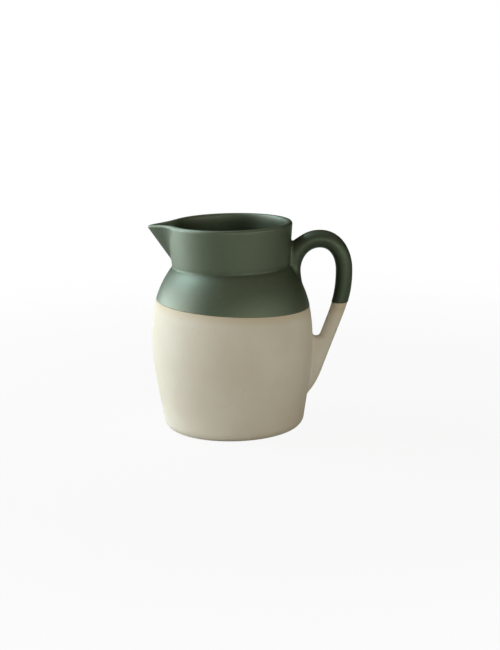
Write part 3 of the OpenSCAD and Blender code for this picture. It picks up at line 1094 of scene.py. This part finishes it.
@dataclass(frozen=True)
class Lamp:
    """A soft box: where it stands, how large it is, and its light."""

    name: str
    azimuth: float
    elevation: float
    distance: float
    width: float
    tall: float
    level: float
    colour: str

    def place(self, target: Vector) -> bpy.types.Object:
        """Sets up the lamp, facing the target.

        Args:
            target: The point that it faces, in metres.

        Returns:
            The lamp.
        """
        light = bpy.data.lights.new(self.name, "AREA")
        light.shape = "RECTANGLE"
        light.size = self.width
        light.size_y = self.tall
        # At level 1 a surface that faces the lamp shows its own colour
        light.energy = self.level * math.pi ** 2 * self.distance ** 2
        light.color = to_linear(self.colour)[:3]
        lamp = bpy.data.objects.new(self.name, light)
        around, up = math.radians(self.azimuth), math.radians(self.elevation)
        way = Vector((math.cos(around) * math.cos(up), math.sin(around) * math.cos(up), math.sin(up)))
        lamp.location = target + way * self.distance
        lamp.rotation_euler = way.to_track_quat("Z", "Y").to_euler()
        bpy.context.scene.collection.objects.link(lamp)
        return lamp


@dataclass(frozen=True)
class Studio:
    """White floor and surround, soft lamps, and the camera."""

    target: tuple[float, float, float] = (17.17, 0.0, 98.75)
    camera_distance: float = 1416.5
    camera_elevation: float = 12.6
    camera_roll: float = -1.13
    focal_pixels: float = 1465.0
    picture_height: float = 650.0
    floor_radius: float = 4000.0
    floor_sides: int = 64
    floor_colour: str = "#c2c1bc"
    plain_white: str = "#ffffff"
    shadow_near: float = 250.0
    shadow_far: float = 900.0
    near_white: float = 0.92
    glow_azimuth: float = -57.0
    glow_band: tuple[float, float] = (0.05, 0.45)
    glow_focus: float = 2.0
    glow_colour: str = "#f7f7de"
    glow_level: float = 2.8
    above_band: tuple[float, float] = (0.4, 0.9)
    above_colour: str = "#fff6e2"
    above_level: float = 0.3
    lamps: tuple[Lamp, ...] = (
        Lamp("window_low", 160, 5, 1.6, 1.2, 0.45, 0.46, "#f0fff6"),
        Lamp("window_front", 193, 12, 1.6, 1.0, 0.6, 0.27, "#fffaf0"),
        Lamp("window_high", 162, 42, 1.6, 1.1, 0.8, 0.61, "#e6fdff"),
    )

    def set_world(self) -> None:
        """Lights the room softly from front, right and above, and shows white to the camera."""
        world = bpy.data.worlds.new("studio_surround")
        bpy.context.scene.world = world
        world.use_nodes = True
        tree = world.node_tree
        tree.nodes.clear()
        way = add_node(tree, "ShaderNodeTexCoord").outputs["Generated"]
        z = add_node(tree, "ShaderNodeSeparateXYZ", {"Vector": way}).outputs["Z"]
        around = math.radians(self.glow_azimuth)
        facing = add_node(tree, "ShaderNodeVectorMath",
                          {0: way, 1: (math.cos(around), math.sin(around), 0.0)},
                          operation="DOT_PRODUCT").outputs["Value"]
        spread = worked(tree, "POWER", ramp(tree, facing), self.glow_focus)
        band = worked(tree, "MULTIPLY", ramp(tree, z, self.glow_band, (1.0, 0.0)), spread)
        glow = worked(tree, "MULTIPLY", band, self.glow_level)
        above = ramp(tree, z, self.above_band, (0.0, self.above_level))
        room: Any = to_linear("#000000")
        for share, colour in ((glow, self.glow_colour), (above, self.above_colour)):
            room = lay_over(tree, share, room, to_linear(colour), blend_type="ADD", clamp_factor=False)
        is_seen = add_node(tree, "ShaderNodeLightPath").outputs["Is Camera Ray"]
        shown = lay_over(tree, is_seen, room, to_linear(self.plain_white))
        surround = add_node(tree, "ShaderNodeBackground", {"Color": shown, "Strength": 1.0})
        add_node(tree, "ShaderNodeOutputWorld", {"Surface": surround.outputs["Background"]})

    def lay_floor(self) -> bpy.types.Object:
        """Lays the floor of white card."""
        ring = [(self.floor_radius * math.cos(a), self.floor_radius * math.sin(a), 0.0)
                for a in np.linspace(0, 2 * math.pi, self.floor_sides, endpoint=False)]
        mesh = bpy.data.meshes.new("white_floor")
        mesh.from_pydata((np.array(ring) * MM).tolist(), [], [list(range(len(ring)))])
        floor = bpy.data.objects.new("white_floor", mesh)
        bpy.context.scene.collection.objects.link(floor)
        mesh.materials.append(self.card())
        return floor

    def card(self) -> bpy.types.Material:
        """Makes the floor's matt card, seen as plain white with a faint shadow near the pitcher."""
        material = blank_material("white_card_matt")
        tree = material.node_tree
        card = add_node(tree, "ShaderNodeBsdfDiffuse", {"Color": to_linear(self.floor_colour)})
        glow = add_node(tree, "ShaderNodeEmission", {"Color": to_linear(self.plain_white), "Strength": 1.0})
        is_seen = add_node(tree, "ShaderNodeLightPath").outputs["Is Camera Ray"]
        place = add_node(tree, "ShaderNodeTexCoord").outputs["Object"]
        away = add_node(tree, "ShaderNodeVectorMath", {0: place}, operation="LENGTH").outputs["Value"]
        fade = (self.shadow_near * MM, self.shadow_far * MM)
        white = ramp(tree, away, fade, (self.near_white, 1.0), interpolation_type="SMOOTHSTEP")
        shown = add_node(tree, "ShaderNodeMixShader",
                         {0: worked(tree, "MULTIPLY", is_seen, white), 1: card.outputs["BSDF"],
                          2: glow.outputs["Emission"]})
        add_node(tree, "ShaderNodeOutputMaterial", {"Surface": shown.outputs["Shader"]})
        return material

    def set_camera(self) -> bpy.types.Object:
        """Stands the camera where the photograph was taken from."""
        data = bpy.data.cameras.new("photo_camera")
        data.lens = self.focal_pixels * data.sensor_width / self.picture_height
        camera = bpy.data.objects.new("photo_camera", data)
        tip, roll = math.radians(self.camera_elevation), math.radians(self.camera_roll)
        forward = Vector((0, math.cos(tip), -math.sin(tip)))
        level, upright = Vector((1, 0, 0)), Vector((0, math.sin(tip), math.cos(tip)))
        right = level * math.cos(roll) + upright * math.sin(roll)
        up = upright * math.cos(roll) - level * math.sin(roll)
        turn = Matrix((right, up, -forward)).transposed().to_4x4()
        spot = (Vector(self.target) - forward * self.camera_distance) * MM
        camera.matrix_world = Matrix.Translation(spot) @ turn
        bpy.context.scene.collection.objects.link(camera)
        bpy.context.scene.camera = camera
        return camera

    def build(self) -> None:
        """Sets up floor, surround, lamps and camera."""
        bpy.context.scene.view_settings.view_transform = "Standard"
        self.set_world()
        self.lay_floor()
        for lamp in self.lamps:
            lamp.place(Vector(self.target) * MM)
        self.set_camera()


def main() -> None:
    """Builds the pitcher and its studio, and reports each piece."""
    logging.basicConfig(level=logging.INFO, format="%(name)s: %(message)s")
    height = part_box("collar_glaze")[1].z / MM
    belly_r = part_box("body")[1].y / MM
    pot_form = PotForm(height=height, belly_r=belly_r)
    beak_form = BeakForm()
    handle_form = HandleForm(reach=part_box("handle")[1].x / MM - belly_r)
    dip = DipLine()
    clay = BareStoneware().material(dip)
    glaze = GreenGlaze().material()
    pot = ThrownPot(pot_form, beak_form, dip)
    handle = PulledHandle(handle_form, pot_form, DipLine(height=120.0, tilt=0.0))
    for assembly in (pot, handle):
        assembly.build()
        assembly.dress(clay, glaze)
        for piece in assembly.pieces:
            LOG.info("%s: %d faces", piece.name, len(piece.data.polygons))
    Studio().build()


if __name__ == "__main__":
    main()
